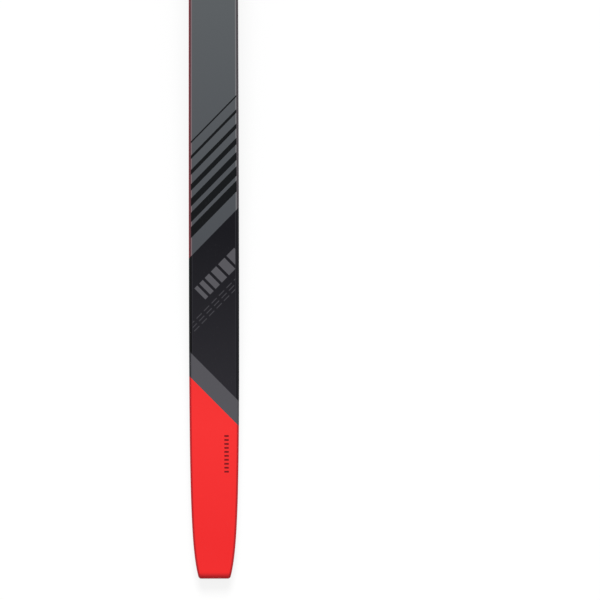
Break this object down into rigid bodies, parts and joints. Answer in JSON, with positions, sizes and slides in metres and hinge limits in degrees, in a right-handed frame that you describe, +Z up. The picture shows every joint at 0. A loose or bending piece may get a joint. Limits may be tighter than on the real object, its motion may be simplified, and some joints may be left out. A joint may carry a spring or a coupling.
{
  "type": "cross-country skate ski with plate binding",
  "caption": "Narrow cambered skating ski with an upturned tip, a squared tapered tail and a lever-release boot binding on a slide plate.",
  "frame": {"origin": "on the floor that the ski rests on, under the middle of its length and width", "axes": "+X across the ski to its right, +Y along it from tail to tip, +Z up"},
  "size_m": [0.0454, 1.86, 0.0695],
  "materials": {
    "printed_film": "satin gloss, printed in grey, black and red",
    "base_plastic": "stone-ground",
    "fibre": "cured fibre",
    "light_wood": "planed",
    "dense_wood": "planed",
    "fill_plastic": "moulded",
    "edge_plastic": "planed and polished",
    "plate_plastic": "fine moulded grain",
    "housing_plastic": "fine moulded grain",
    "lever_plastic": "smooth moulded",
    "steel": "stamped and tumbled",
    "screw_steel": "zinc plated",
    "soft_rubber": "moulded"
  },
  "bodies": {
    "ski": {"running_base": "base_plastic", "lower_laminate": "fibre", "tail_block_insert": "fill_plastic", "rear_core": "light_wood", "binding_core": "dense_wood", "front_core": "light_wood", "tip_block_insert": "fill_plastic", "left_sidewall": "edge_plastic", "right_sidewall": "edge_plastic", "upper_laminate": "fibre", "top_sheet": "printed_film", "binding_plate": "plate_plastic", "plate_screws": "screw_steel"},
    "toe_unit": {"toe_housing": "housing_plastic", "bar_seat": "steel", "flexor": "soft_rubber", "hinge_pin": "steel", "toe_lock_screw": "screw_steel", "jaw_spring": "steel"},
    "jaw": {"jaw": "steel"},
    "lever": {"release_lever": "lever_plastic", "crank_pin": "steel"},
    "heel_unit": {"heel_housing": "housing_plastic", "heel_pad": "soft_rubber", "heel_lock_screw": "screw_steel"}
  },
  "joints": [
    {"name": "toe_slide", "type": "slide", "parent": "ski", "child": "toe_unit", "axis": [0, 1, 0], "range_m": [-0.01, 0.01]},
    {"name": "heel_slide", "type": "slide", "parent": "ski", "child": "heel_unit", "axis": [0, 1, 0], "range_m": [-0.02, 0.03]},
    {"name": "lever_hinge", "type": "hinge", "parent": "toe_unit", "child": "lever", "pos_m": [0, -0.04, 0.0651], "axis": [1, 0, 0], "range_deg": [0, 80], "stiffness_Nm_per_rad": 0.04, "springref_deg": -28.65},
    {"name": "jaw_slide", "type": "slide", "parent": "toe_unit", "child": "jaw", "axis": [0, 1, 0], "range_m": [0, 0.0065], "deforming": ["jaw_spring"]}
  ],
  "couplings": [
    {"joint": "jaw_slide", "follows": "lever_hinge", "m_per_rad": 0.004586}
  ]
}
